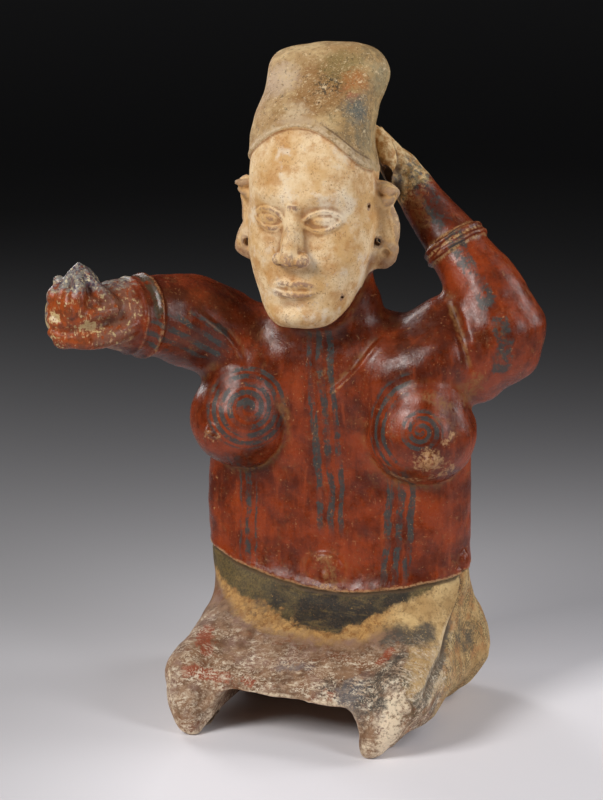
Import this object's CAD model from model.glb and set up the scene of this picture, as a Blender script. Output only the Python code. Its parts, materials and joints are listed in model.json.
"""Seated figure of hollow fired clay: its modelled surface, its slips and paint, and a plain stage.

Lengths and places on the figure are millimetres of a figure 500 mm high, turned into metres by MM:
x to its own left, y to its back, z up from the floor. The stage is measured in metres.
"""

import json
import math

import bmesh
import bpy
import numpy as np
from bpy.props import FloatProperty, FloatVectorProperty, IntProperty, PointerProperty
from bpy.types import Operator, Panel, PropertyGroup
from mathutils import Euler, Matrix, Vector
from mathutils.bvhtree import BVHTree

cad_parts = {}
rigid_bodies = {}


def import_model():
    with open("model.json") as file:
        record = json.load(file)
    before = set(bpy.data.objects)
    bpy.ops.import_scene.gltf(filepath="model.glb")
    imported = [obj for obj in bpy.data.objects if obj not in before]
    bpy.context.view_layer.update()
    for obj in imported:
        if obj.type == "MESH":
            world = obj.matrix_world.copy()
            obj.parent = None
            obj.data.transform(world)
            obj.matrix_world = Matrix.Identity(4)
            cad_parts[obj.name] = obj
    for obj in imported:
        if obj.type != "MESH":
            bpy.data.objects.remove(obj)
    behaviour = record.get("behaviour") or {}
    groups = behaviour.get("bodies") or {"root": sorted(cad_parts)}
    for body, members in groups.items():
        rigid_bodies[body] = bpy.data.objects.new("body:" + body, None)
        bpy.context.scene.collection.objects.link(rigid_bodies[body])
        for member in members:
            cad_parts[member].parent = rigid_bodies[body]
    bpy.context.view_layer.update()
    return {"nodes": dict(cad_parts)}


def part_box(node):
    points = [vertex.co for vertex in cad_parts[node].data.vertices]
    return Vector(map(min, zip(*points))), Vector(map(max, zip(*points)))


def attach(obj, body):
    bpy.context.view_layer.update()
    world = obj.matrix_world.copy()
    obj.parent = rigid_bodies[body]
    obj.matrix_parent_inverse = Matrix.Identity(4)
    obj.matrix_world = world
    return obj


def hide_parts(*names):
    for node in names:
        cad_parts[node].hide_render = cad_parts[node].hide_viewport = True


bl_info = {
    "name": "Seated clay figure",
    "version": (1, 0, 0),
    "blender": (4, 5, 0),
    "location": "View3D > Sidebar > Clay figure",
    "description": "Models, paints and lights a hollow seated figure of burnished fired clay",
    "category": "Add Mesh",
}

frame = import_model()

NODE = "seated_figure"
PIECE = "clay_figure"
ROUGH = "rough_clay"
SHELL = "shell_"
CUTTER = "cutter_holes"
LOW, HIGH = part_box(NODE)
MM = (HIGH.z - LOW.z) / 500
INSIDE_BOX = 0.2

HEAD_X = -9
RIM_Z = 446
BROW_Z = 396
EYE_Z = 381
MOUTH_Z = 332
CHIN_Z = 303
EYE_X = 20
WAIST_Z = 98
# Each breast: the middle of its dome and its radius
BREASTS = ((-66.5, -28, 222, 39), (75, -26, 221, 38.5))
RIGHT_ARM = (
    (-42, 0, 276), (-78, -8, 284), (-101, -28, 291), (-119, -49, 299), (-134, -67, 301), (-160, -96, 309),
)
LEFT_FOREARM = (
    (121, 7, 252), (125, 8, 284), (111, 13, 318), (82, 22, 353), (58, 26, 380), (41, 27, 402), (23, 25, 425),
)
ARMBAND_WAY = (-0.55, -0.82, 0.1)
WRISTBAND_WAY = (-0.6, 0.16, 0.78)
FIST = (-166, -106, 312)
LEFT_PALM = (26, 18, 424)
FEET = ((78, -112, 20), (-82, -112, 20))
THUMB = ((23, 15, 436), (29, 13, 427), (33, 11, 419), (35, 10, 411), (34, 9, 402))
# The lip of each shoulder on the chest, in x and z, by side
COLLARS = {
    1: ((50, 303), (44, 291), (36, 281), (29, 271), (20, 261), (9, 251), (0, 245)),
    -1: ((-94, 314), (-83, 302), (-73, 291), (-65, 280), (-55, 262)),
}
ELBOW_CREASE = (
    (88, -6, 316), (98, -20, 304), (104, -28, 294), (109, -31, 283), (112, -31, 272), (113, -29, 262),
)
# The seam beside the left hip, in y and z
HIP_FOLD = ((-9, 113), (-9, 99), (-13, 82), (-32, 68), (-54, 57), (-79, 50), (-104, 43))
# Lower edges of the dark and the golden band below the waist: places across, and their heights
DARK_EDGE = ((-92, -78, -41, -7, 17, 31, 46, 63, 79, 94), (100, 91, 84, 76, 74, 77, 87, 94, 101, 110))
GOLD_EDGE = (
    (-92, -75, -57, -25, 16, 43, 57, 66, 74, 86, 95, 101),
    (95, 85, 77, 71, 69, 71, 77, 80, 74, 56, 44, 40),
)
# Each ear's outline, in x out from the middle of the head and z
EAR_OUTLINES = {
    1: (
        (36, 403), (44, 404.5), (52, 403.5), (58, 400), (61, 396.5), (58, 393), (54, 390), (56, 384),
        (59, 377), (59.5, 369), (59, 361), (55, 354), (49, 350), (43, 349), (38, 355), (36, 366),
    ),
    -1: (
        (36, 403), (44, 404), (52, 403.5), (58, 401.5), (61, 398.5), (58, 394), (54, 388), (51, 381),
        (53, 373), (58, 365), (62, 356), (63, 348), (57, 343), (49, 341), (42, 346), (36, 360),
    ),
}


def mm(x, y, z):
    return Vector((x, y, z)) * MM


def rising(values, low, high):
    """0 up to low, 1 from high on, and smooth between them."""
    t = np.clip((values - low) / (high - low), 0, 1)
    return t * t * (3 - 2 * t)


def falling(values, low, high):
    return 1 - rising(values, low, high)


def bell(values, width):
    return np.exp(-((values / width) ** 2))


def fading(values, reach):
    """1 up to zero, and dying away above it over the reach."""
    return np.exp(-np.maximum(values, 0) / reach)


def through(places, steps=24):
    """Evenly stepped points on a smooth line through the places."""
    p = np.array([places[0], *places, places[-1]], float)
    t = np.linspace(0, len(places) - 1, steps + 1)
    i = np.minimum(t.astype(int), len(places) - 2)
    u = (t - i)[:, None]
    a, b, c, d = p[i], p[i + 1], p[i + 2], p[i + 3]
    square = (2 * a - 5 * b + 4 * c - d) * u**2
    cube = (3 * b - a - 3 * c + d) * u**3
    return 0.5 * (2 * b + (c - a) * u + square + cube)


def beside(spots, line):
    """How far each spot is from a line of points, and how far along it, from 0 to 1, it is met."""
    line = np.array(line, float)
    way = line[1:] - line[:-1]
    nearest = np.full(len(spots), 1e9)
    share = np.zeros(len(spots))
    for i, (start, step) in enumerate(zip(line[:-1], way)):
        out = spots - start
        t = np.clip(out @ step / (step @ step), 0, 1)
        far = np.linalg.norm(out - t[:, None] * step, axis=1)
        closer = far < nearest
        nearest[closer] = far[closer]
        share[closer] = (i + t[closer]) / len(way)
    return nearest, share


def side_of(spots, line):
    """Distance in a plane from each spot to a line, positive to the left of the line's way."""
    line = np.array(line, float)
    far, share = beside(spots, line)
    at = np.minimum((share * (len(line) - 1)).astype(int), len(line) - 2)
    way = (line[1:] - line[:-1])[at]
    out = spots - line[at]
    turn = way[:, 0] * out[:, 1] - way[:, 1] * out[:, 0]
    return far * np.sign(turn), share


def near(spots, at, radius, fade):
    """1 within the radius of a place, fading to 0 outside it."""
    far = np.linalg.norm(spots - np.array(at, float), axis=1)
    return falling(far, radius, radius + fade)


def spots_of(mesh):
    """The mesh's vertices, in millimetres of the figure."""
    spots = np.empty(len(mesh.vertices) * 3)
    mesh.vertices.foreach_get("co", spots)
    return spots.reshape(-1, 3) / MM


def place_spots(mesh, spots):
    mesh.vertices.foreach_set("co", (spots * MM).ravel())
    mesh.update()


def normals_of(mesh):
    normals = np.empty(len(mesh.vertices) * 3)
    mesh.vertex_normals.foreach_get("vector", normals)
    return normals.reshape(-1, 3)


def settle(field, edges, give, rounds):
    """Lets each value sink towards the mean of its neighbours, by its own give, again and again."""
    one, two = edges.T
    count = np.bincount(edges.ravel(), minlength=len(field))
    for _ in range(rounds):
        mean = np.empty_like(field)
        for axis in range(field.shape[1]):
            total = np.bincount(one, field[two, axis], len(field))
            total += np.bincount(two, field[one, axis], len(field))
            mean[:, axis] = total / count
        field = field + give[:, None] * (mean - field)
    return field


def edges_of(mesh):
    edges = np.empty(len(mesh.edges) * 2, int)
    mesh.edges.foreach_get("vertices", edges)
    return edges.reshape(-1, 2)


def relax(mesh, give, rounds):
    """Smooths a mesh as a wet hand does, and gives back the size that smoothing takes away."""
    spots = spots_of(mesh)
    edges = edges_of(mesh)
    soft = settle(spots, edges, give, rounds)
    place_spots(mesh, soft + settle(spots - soft, edges, give, rounds))


def remesh(piece, grain):
    """Melts overlapping closed shells into one skin of even quads."""
    melt = piece.modifiers.new("melt", "REMESH")
    melt.mode = "VOXEL"
    melt.voxel_size = grain
    bake_modifiers(piece)


def bake_modifiers(piece):
    graph = bpy.context.evaluated_depsgraph_get()
    before = piece.data
    piece.data = bpy.data.meshes.new_from_object(piece.evaluated_get(graph))
    piece.modifiers.clear()
    bpy.data.meshes.remove(before)


def new_piece(name, bm):
    mesh = bpy.data.meshes.new(name)
    bm.to_mesh(mesh)
    bm.free()
    piece = bpy.data.objects.new(name, mesh)
    bpy.context.scene.collection.objects.link(piece)
    bpy.context.view_layer.update()
    return piece


def lump(bm, at, radii, turn=(0, 0, 0), detail=3):
    """An egg-shaped lump, with its half sizes and its turn in degrees."""
    spin = Euler([math.radians(a) for a in turn]).to_matrix().to_4x4()
    shape = Matrix.Translation(mm(*at)) @ spin @ Matrix.Diagonal((*mm(*radii), 1))
    bmesh.ops.create_icosphere(bm, subdivisions=detail, radius=1, matrix=shape)


def roll(bm, points, radii, sides=10):
    """A roll of clay, extruded section by section along points, with a radius at each."""
    path = [mm(*p) for p in points]
    padded = [path[0], *path, path[-1]]
    ways = [(after - before).normalized() for before, after in zip(padded, padded[2:])]
    start = Matrix.Translation(path[0]) @ ways[0].to_track_quat("Z", "Y").to_matrix().to_4x4()
    radius = radii[0] * MM
    ring = bmesh.ops.create_circle(bm, cap_ends=True, segments=sides, radius=radius, matrix=start)["verts"]
    end = ring[0].link_faces[0]
    for i in range(1, len(path)):
        grown = bmesh.ops.extrude_face_region(bm, geom=[end])["geom"]
        ring = [v for v in grown if isinstance(v, bmesh.types.BMVert)]
        end = next(f for f in grown if isinstance(f, bmesh.types.BMFace))
        turn = ways[i - 1].rotation_difference(ways[i]).to_matrix()
        growth = radii[i] / radii[i - 1]
        bmesh.ops.translate(bm, vec=path[i] - path[i - 1], verts=ring)
        bmesh.ops.rotate(bm, cent=path[i], matrix=turn, verts=ring)
        bmesh.ops.scale(bm, vec=(growth,) * 3, space=Matrix.Translation(-path[i]), verts=ring)


def finger(bm, places, stops, radii, sides=10):
    """A roll through the places in as many steps as the last stop says, with a radius at each stop."""
    steps = stops[-1]
    roll(bm, through(places, steps), np.interp(np.arange(steps + 1), stops, radii), sides)


def tapered(count, middle, ends):
    """Radii that swell from thin ends to the middle of a roll."""
    t = np.linspace(0, math.pi, count)
    return ends + (middle - ends) * np.sin(t) ** 0.6


def rough_skin():
    return BVHTree.FromObject(bpy.data.objects[ROUGH], bpy.context.evaluated_depsgraph_get())


def front(skin, x, z, sunk=0.0):
    """Where the skin is first met from the front, in millimetres."""
    hit = skin.ray_cast(mm(x, -400, z), Vector((0, 1, 0)))[0]
    if hit is None:
        raise RuntimeError(f"no skin in front of x {x}, z {z}")
    return np.array(hit / MM) + (0, sunk, 0)


def girdle(skin, at, way, sunk, steps=40):
    """A closed line around a limb, on its skin, square to the limb's way."""
    way = Vector(way).normalized()
    up = (Vector((0, 0, 1)) - way * way.z).normalized()
    across = way.cross(up)
    line = []
    for i in range(steps + 2):
        angle = 2 * math.pi * i / steps
        out = up * math.cos(angle) + across * math.sin(angle)
        hit = skin.ray_cast(mm(*at) + out * 60 * MM, -out)[0]
        line.append(np.array(hit / MM - out * sunk))
    return line


def press(spots, at, reach, move):
    """Pushes the clay about a place, most in the middle and fading out over its reach."""
    away = (spots - np.array(at, float)) / np.array(reach, float)
    spots += np.exp(-(away**2).sum(1))[:, None] * np.array(move, float)


def waist_line(spots):
    """Height of the edge between the trunk and the skirt: lowest in front, level behind."""
    rise = 16 * (np.abs(spots[:, 0] - 12) / 100) ** 1.6
    behind = rising(spots[:, 1], -15, 10)
    return WAIST_Z + rise * (1 - behind) + 17 * behind


def rim_line(spots):
    """Height of the cap's lower edge: an arch over the forehead, low behind."""
    arch = RIM_Z - 30 * ((spots[:, 0] - HEAD_X + 2) / 46) ** 2
    behind = rising(spots[:, 1], -42, -12)
    return np.maximum(arch, 404) * (1 - behind) + 410 * behind


def jaw_line(spots):
    """Height of the edge of the head: under the chin in front, up to the ear lobes behind."""
    return CHIN_Z - 3 + np.clip((spots[:, 1] + 62) / 44, 0, 1) * 42


def give_of_clay(spots):
    """How much each place of the rough form is smoothed: less where small forms stand."""
    x, y, z = spots.T
    give = np.full(len(spots), 0.5)

    def hold(share, value):
        np.copyto(give, give * (1 - share) + value * share)

    for *at, radius in BREASTS:
        hold(near(spots, at, radius + 2, 10), 0.2)
    hold(rising(z, 440, 450), 0.12)
    head = rising(z, 300, 312) * falling(np.abs(x - HEAD_X), 66, 72) * falling(y, 10, 16)
    hold(head, 0.16)
    hold(head * rising(z - rim_line(spots), 6, 16) * falling(z, 440, 450), 0.3)
    ears = rising(np.abs(x - HEAD_X), 46, 50) * rising(z, 334, 340) * falling(z, 404, 412)
    hold(ears * head, 0.03)
    hold(near(spots, FIST, 30, 12), 0.08)
    hold(near(spots, LEFT_PALM, 26, 10), 0.06)
    hold(falling(z, 38, 52), 0.1)
    for foot in FEET:
        hold(near(spots, foot, 34, 16), 0.14)
    return give


def shape_head(spots):
    """Works a calm, plain face into the front of the head, and draws in the sides of the cap."""
    for side in (-1, 1):
        for (out, y, z), reach, (widen, push) in (
            ((EYE_X, -68, EYE_Z + 2), (13, 16, 9), (0, 4.5)),  # socket
            ((19, -72, BROW_Z + 2), (17, 14, 6), (0, -2.2)),  # brow
            ((27, -62, 356), (15, 18, 15), (0.5, -2.4)),  # cheek
            ((45, -52, 392), (10, 14, 16), (-1.5, 0)),  # temple
        ):
            press(spots, (HEAD_X + side * out, y, z), reach, (side * widen, push, 0))
    for at, reach, move in (
        ((34, -4, 432), (20, 40, 24), (-7, 0, 0)),  # cap above the left ear
        ((40, -4, 460), (12, 40, 15), (-4, 0, 0)),  # cap's left side
        ((-43, -4, 484), (13, 34, 15), (-6, 0, 3.5)),  # cap's right upper corner
        ((HEAD_X, -74, MOUTH_Z + 1), (21, 14, 10), (0, -2, 0)),  # mouth
        ((HEAD_X, -72, 318), (15, 12, 5), (0, 1.8, 0)),  # hollow under the lips
        ((HEAD_X, -68, 308), (14, 14, 8), (0, -2.6, 0)),  # chin
    ):
        press(spots, at, reach, move)


def shape_hips(spots):
    """The hips bulge low down and round in under themselves towards the floor."""
    x, y, z = spots.T
    beside_base = rising(np.abs(x - 3), 52, 80) * rising(y, -60, -28)
    tuck = 12.5 * (1 - np.clip(z / 36, 0, 1)) ** 2
    swell = 2.6 * bell(z - 34, 14) - 3.2 * bell(z - 80, 16)
    spots[:, 0] += np.sign(x) * beside_base * (swell - tuck)


def shape_shoulders(spots):
    """The shoulders slope down to the neck, and the left one is a rounded hump beside the arm."""
    for at, reach, lift in (
        ((-68, 0, 312), (18, 34, 16), -14),
        ((-90, -4, 320), (15, 30, 14), -6),
        ((70, 0, 314), (17, 22, 12), 4),
    ):
        press(spots, at, reach, (0, 0, lift))


def rough_form(form):
    """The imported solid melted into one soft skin, with its facets smoothed away."""
    bm = bmesh.new()
    bm.from_mesh(frame["nodes"][NODE].data)
    bmesh.ops.remove_doubles(bm, verts=bm.verts, dist=0.01 * MM)
    body = new_piece(ROUGH, bm)
    remesh(body, form.rough_grain)
    relax(body.data, give_of_clay(spots_of(body.data)), 60)
    spots = spots_of(body.data)
    shape_head(spots)
    shape_hips(spots)
    shape_shoulders(spots)
    place_spots(body.data, spots)


def nose(bm, skin):
    """A straight ridge on two broader flanks, with a wing at each side of its tip."""
    # Down the ridge: height, how far it stands out, and its radius
    profile = ((393, 2, 4), (384, 5.5, 4.6), (373, 9.5, 5.2), (363, 13.5, 6), (356, 16, 7), (352, 14.5, 6))
    ridge, flank = [], []
    for z, proud, radius in profile:
        y = front(skin, HEAD_X + 16, z)[1] - 3
        ridge.append((HEAD_X, y - proud + radius, z))
        flank.append((HEAD_X, y, z))
    along = np.linspace(0, 5, 15)
    roll(bm, through(ridge, 14), np.interp(along, range(6), [radius for _, _, radius in profile]))
    roll(bm, through(flank, 14), np.interp(along, range(6), (4, 6.5, 8, 9, 9.5, 8)))
    for side in (-1, 1):
        lump(bm, (HEAD_X + side * 8.5, flank[4][1] - 5, 354), (5.2, 7.5, 5))


def eye(bm, skin, side):
    """An almond eye: a low lens inside a raised rim."""
    x = HEAD_X + side * EYE_X
    middle = front(skin, x, EYE_Z)
    lump(bm, middle + (0, 3.4, 0), (11.5, 6.2, 6.2), (0, 0, side * 16))
    for lid, radius in ((1, 2.4), (-1, 1.9)):
        line = []
        for t in np.linspace(-1, 1, 15):
            rise = lid * 6.8 * (1 - abs(t) ** 2.2) + 1.2 * t * side
            line.append(front(skin, x + 14 * t, EYE_Z + rise, -0.3))
        roll(bm, line, tapered(15, radius, 0.9), sides=8)


def lips(bm, skin):
    """Two closed lips, the upper one with a small dip in the middle."""
    for lip, middle, drop in ((1, 3.0, 2.9), (-1, 3.5, 3.4)):
        line = []
        for t in np.linspace(-1, 1, 17):
            bow = drop * (1 - abs(t) ** 2.5)
            dip = 0.8 * math.exp(-((t / 0.16) ** 2)) if lip > 0 else 0
            line.append(front(skin, HEAD_X + 18 * t, MOUTH_Z + lip * (bow + 0.9) - dip, 0.8))
        roll(bm, line, tapered(17, middle, 1.2), sides=10)


def face(bm):
    """The nose, the eyes and the lips, laid on the front of the head."""
    skin = rough_skin()
    nose(bm, skin)
    for side in (-1, 1):
        eye(bm, skin, side)
    lips(bm, skin)


def ear(bm, side):
    """A flat ear on the side of the head: a hook on top, a notch, and a lobe that flares."""
    outline = EAR_OUTLINES[side]
    back, thick = -16, 8
    corners = through((*outline, outline[0]), 64)[:-1]
    verts = [bm.verts.new(mm(HEAD_X + side * x, back, z)) for x, z in corners]
    bmesh.ops.contextual_create(bm, geom=verts)
    plate = verts[0].link_faces[0]
    grown = bmesh.ops.extrude_face_region(bm, geom=[plate])["geom"]
    moved = [v for v in grown if isinstance(v, bmesh.types.BMVert)]
    bmesh.ops.translate(bm, vec=mm(0, -thick, 0), verts=moved)
    rim = [(HEAD_X + side * x, -22, z) for x, z in corners[10:54]]
    roll(bm, rim, tapered(len(rim), 2.4, 1.6), sides=8)
    hook = ((42, -20, 400), (51, -24, 399), (58, -28, 398), (62, -30, 399.5))
    roll(bm, [(HEAD_X + side * x, y, z) for x, y, z in hook], (4.2, 3.8, 3.2, 2))


def fist(bm):
    """The right hand: a blunt palm, fingers pinched up into a peak, a knob and the thumb below."""
    lump(bm, (-162, -100, 308), (23, 20, 19), (0, 0, 35))
    lump(bm, (-175, -109, 310), (12, 12.5, 17), (0, 12, 0))
    ridges = (
        ((-163, -106, 347), (-160, -113, 335), (-158, -118, 323), (-157, -117, 308)),
        ((-162, -105, 345), (-153, -107, 334), (-145, -104, 324), (-137, -96, 313)),
        ((-164, -105, 345), (-169, -112, 334), (-171, -118, 321), (-170, -118, 306)),
        ((-164, -103, 344), (-165, -95, 331), (-165, -88, 318), (-164, -84, 304)),
    )
    for joints in ridges:
        finger(bm, joints, (0, 3, 8, 12), (1.2, 3.6, 6.4, 6))
    for at, radii, lean in (
        ((-177, -110, 332), (5, 5, 5.6), 20),
        ((-179, -113, 322), (6, 8, 8), 0),
        ((-179, -114, 304), (6.8, 7, 7.6), 0),
    ):
        lump(bm, at, radii, (0, lean, 0))
    folds = (
        ((-128, -88, 300), (-144, -106, 293), (-158, -115, 292), (-171, -119, 294), (-180, -118, 299)),
        ((-136, -100, 313), (-148, -112, 311), (-160, -119, 306), (-172, -122, 304), (-181, -119, 307)),
    )
    for joints, radius in zip(folds, (8.6, 5.6)):
        finger(bm, joints, (0, 7, 14), (radius, radius, 0.6 * radius))


def left_hand(bm):
    """The left hand, tapering up behind the cap, with the thumb as a flap hung over a hollow."""
    palm = ((64, 26, 374), (60, 25, 381), (50, 24, 395), (40, 23, 409), (31, 22, 422), (22, 20, 433))
    finger(bm, palm, (0, 3, 6, 9, 12, 15), (16, 15.4, 12.4, 9.4, 6.6, 4.8), sides=14)
    for i in range(4):
        root = (44 - 2 * i, 24 + 4 * i, 404)
        knuckle = (28 - 4 * i, 26 + 4 * i, 424 + i)
        tip = (14 - 7 * i, 24 + 2.5 * i, 438 + i)
        finger(bm, (root, knuckle, tip), (0, 3, 8, 10), (7, 5.6, 4.8, 3.4))
    finger(bm, THUMB, (0, 3, 6, 9, 12), (4.5, 6, 7, 5.6, 1.8), sides=12)


def breasts(bm):
    """Two full domes set on the chest, each with a flatter one above it that makes a soft slope."""
    for (x, y, z, radius), inward in zip(BREASTS, (3, 0)):
        lump(bm, (x, y, z), (radius, radius, radius), detail=5)
        lump(bm, (x + inward, y, z + 16), (radius - 6, radius - 7, radius - 2), detail=5)


def bands(bm):
    """The rolls of clay about the right forearm and the left wrist."""
    skin = rough_skin()
    for at, way, sunk, radius in (
        ((-132.5, -65, 301), ARMBAND_WAY, 0.2, 2.5),
        ((-138.5, -74, 302.5), ARMBAND_WAY, 0.6, 2.1),
        ((80, 22.4, 355.2), WRISTBAND_WAY, -0.8, 2.7),
        ((83.6, 21.4, 350.5), WRISTBAND_WAY, -0.5, 2.7),
    ):
        line = girdle(skin, at, way, sunk)
        roll(bm, line, [radius] * len(line), sides=8)


def buttons(bm):
    """The navel, the nipples and the small knobs pressed onto the waist and the knee."""
    skin = rough_skin()
    navel = front(skin, 4, 112)
    lump(bm, navel + (0, 1.2, -1), (15, 3, 14.5))
    lump(bm, navel + (0.5, -0.8, -3), (5, 2.8, 4.6))
    right, left = front(skin, -77, 219), front(skin, 90, 209)
    lump(bm, right + (0, 0.5, 0), (5.4, 5.5, 5), (20, 0, -30))
    lump(bm, right + (-1, -4, -1), (3.4, 2.2, 3.2), (20, 0, -30))
    lump(bm, left + (0, 1, 0), (6.4, 5, 6), (20, 0, 30))
    waist_knob, knee_knob = (101, -7, 121), (90, -115, 40)
    lump(bm, waist_knob, (4.5, 6, 8))
    lump(bm, knee_knob, (6, 5, 6))


def holes(bm):
    """What is pierced or hollowed out: ear lobes, vents, nostrils, the palm and the right foot."""
    # Each hole: its middle, its way, its radius and its depth
    pierced = (
        ((HEAD_X + 47, -20, 361), (0, 1, 0), 3.7, 24),  # left lobe
        ((HEAD_X - 54, -20, 354), (0, 1, 0), 3.5, 24),  # right lobe
        ((-0.5, -44, 462), (0.25, 0.8, -0.5), 1.3, 14),  # vent in the cap
        ((HEAD_X + 43, -38, 389), (-0.6, 0.8, 0), 1.2, 14),  # vent at the temple
        ((HEAD_X + 31, -58, 325), (-0.4, 0.9, 0), 1.1, 12),  # vent in the jaw
        ((HEAD_X + 6, -86, 349), (0, 0.5, 0.85), 2.3, 9),  # left nostril
        ((HEAD_X - 6, -86, 349), (0, 0.5, 0.85), 2.3, 9),  # right nostril
    )
    for at, way, radius, depth in pierced:
        turn = Vector(way).to_track_quat("Z", "Y").to_matrix().to_4x4()
        place = Matrix.Translation(mm(*at)) @ turn
        wide, narrow = radius * MM, radius * 0.9 * MM
        bmesh.ops.create_cone(
            bm, cap_ends=True, segments=16, radius1=wide, radius2=narrow, depth=depth * MM, matrix=place,
        )
    palm, foot = (31.5, 3, 402), (-57, -101, -2)
    lump(bm, palm, (7, 15, 10.5), (0, 14, 0))
    lump(bm, foot, (13, 15, 16))


def unevenness(spots, size, seed):
    """Slow swells and dips of a surface shaped by hand, from waves that cross at random angles."""
    waves = 14
    pick = np.random.default_rng(seed)
    total = np.zeros(len(spots))
    for _ in range(waves):
        way = pick.normal(size=3)
        way *= 2 * math.pi / (size * pick.uniform(0.7, 1.5) * np.linalg.norm(way))
        total += np.sin(spots @ way + pick.uniform(0, 6.3))
    return total / 3.7


def collar_relief(spots, normals):
    """Each shoulder stands a little above the chest along a slanting lip that fades out."""
    rise = np.zeros(len(spots))
    facing = rising(-normals[:, 1], 0.05, 0.4) * (spots[:, 1] < 5)
    for side, places in COLLARS.items():
        across, share = side_of(spots[:, [0, 2]], through(places, 20))
        outward = across * (1 if side > 0 else -1)
        ends = rising(share, 0.0, 0.35) * falling(share, 0.8, 1.0)
        plateau = rising(outward, -2.6, 2.2) * fading(outward, 20)
        groove = -0.3 * bell(outward + 3.2, 2.2)
        lip = 0.3 * bell(outward - 2.4, 2.2)
        close = np.abs(across) < 60
        rise += (2.6 * plateau + groove + lip) * ends * facing * close
    return rise


def crease_relief(spots, normals):
    """The raised arm folds against the shoulder in a deep soft crease below the gap."""
    far, share = beside(spots, through(ELBOW_CREASE, 24))
    ends = rising(share, 0.0, 0.12) * falling(share, 0.6, 1.0)
    beyond = rising(spots[:, 0] - np.interp(spots[:, 2], (262, 294, 316), (113, 104, 88)), 0, 8)
    arm_side = 2.2 * beyond * bell(far, 16) * (spots[:, 1] < -2)
    return (-3.4 * bell(far, 4.2) + arm_side) * ends


def waist_relief(spots, normals):
    """The trunk ends in a thin uneven lip that laps over the skirt."""
    ragged = 0.5 * unevenness(spots, 17, 5)
    over = spots[:, 2] - waist_line(spots) - ragged
    lip = 1.7 * rising(over, -0.6, 0.7) * fading(over, 6)
    tuck = -0.9 * bell(over + 2.0, 2.2)
    outside = falling(np.abs(normals[:, 2]), 0.7, 0.95) * (spots[:, 2] > 80) * (spots[:, 2] < 135)
    return (lip + tuck) * outside


def rim_relief(spots, normals):
    """The cap laps over the forehead with a rounded rim and a line scored above it."""
    over = spots[:, 2] - rim_line(spots)
    on_front = falling(spots[:, 1], -34, -22) * (spots[:, 2] > 395)
    lap = 1.5 * rising(over, -0.9, 0.9) * fading(over, 16)
    bead = 0.6 * bell(over - 1.6, 1.7)
    side = rising(spots[:, 0], -6, 12)
    scored = -0.9 * bell(over - 6, 1.2) * side
    return (lap + bead + scored) * on_front


def fold_relief(spots, normals):
    """The seam beside the left hip: the lap's sheet ends in a rolled edge above a groove."""
    across, share = side_of(spots[:, 1:], through(HIP_FOLD, 24))
    on_side = rising(spots[:, 0], 76, 88) * (spots[:, 2] < 116) * rising(normals[:, 0], -0.1, 0.3)
    on_side *= falling(share, 0.93, 1.0)
    width = 1.9 + 2.0 * share
    groove = -2.8 * bell(across, width)
    rolled = 1.4 * bell(across + 1.9 * width, 1.1 * width)
    hip = 1.6 * rising(across, 2, 8) * fading(across, 20)
    return (groove + rolled + hip) * on_side


def relief(mesh, form):
    """Raises the lips, folds and swells of the surface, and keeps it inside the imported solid's box."""
    spots, normals = spots_of(mesh), normals_of(mesh)
    rise = form.unevenness / MM * unevenness(spots, 46, 1) + 0.22 * unevenness(spots, 15, 2)
    for part in (collar_relief, crease_relief, waist_relief, rim_relief, fold_relief):
        rise += part(spots, normals)
    floor = rising(spots[:, 2], 0.5, 4)
    spots += normals * (rise * floor)[:, None]
    low = np.array(LOW) / MM + (INSIDE_BOX, INSIDE_BOX, 0)
    place_spots(mesh, np.clip(spots, low, np.array(HIGH) / MM - INSIDE_BOX))


def pierce(piece, cutter):
    """Cuts the cutter's shape out of a piece."""
    cut = piece.modifiers.new("pierce", "BOOLEAN")
    cut.operation = "DIFFERENCE"
    cut.solver = "MANIFOLD"
    cut.object = cutter
    bake_modifiers(piece)
    bpy.data.objects.remove(cutter)


def thin_out(piece, most):
    """Takes triangles away where the surface is plain, and keeps them where it is worked."""
    triangles = sum(len(p.vertices) - 2 for p in piece.data.polygons)
    thin = piece.modifiers.new("thin", "DECIMATE")
    thin.ratio = min(1, most / triangles)
    bake_modifiers(piece)


def finish_form(form):
    """One skin of the rough form and every shell laid on it, pierced, worked over and thinned."""
    body = bpy.data.objects[ROUGH]
    bm = bmesh.new()
    bm.from_mesh(body.data)
    shells = [o for o in bpy.data.objects if o.name.startswith(SHELL)]
    for shell in shells:
        bm.from_mesh(shell.data)
        bpy.data.objects.remove(shell)
    bpy.data.objects.remove(body)
    figure = new_piece(PIECE, bm)
    remesh(figure, form.fine_grain)
    pierce(figure, bpy.data.objects[CUTTER])
    mesh = figure.data
    relax(mesh, np.full(len(mesh.vertices), 0.35), 3)
    spots = spots_of(mesh)
    soft = 0.12 * near(spots, (-164, -106, 308), 26, 8)
    for *at, radius in BREASTS:
        ring = near(spots, at, radius + 20, 10)
        ring *= rising(np.linalg.norm(spots - at, axis=1), radius - 10, radius - 3)
        soft = np.maximum(soft, ring * rising(spots[:, 2], at[2] + 2, at[2] + 24))
    relax(mesh, 0.5 * soft, 60)
    relief(mesh, form)
    store_zones(mesh)
    thin_out(figure, form.most_triangles)
    figure.data.shade_smooth()
    figure.data.name = PIECE
    return figure


# What a zone says far outside its edge
OUTSIDE = -30.0
# How far along the arms' lines the hands' own slips start
HAND_SHARE = 0.735
FIST_SHARE = 0.86

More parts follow.
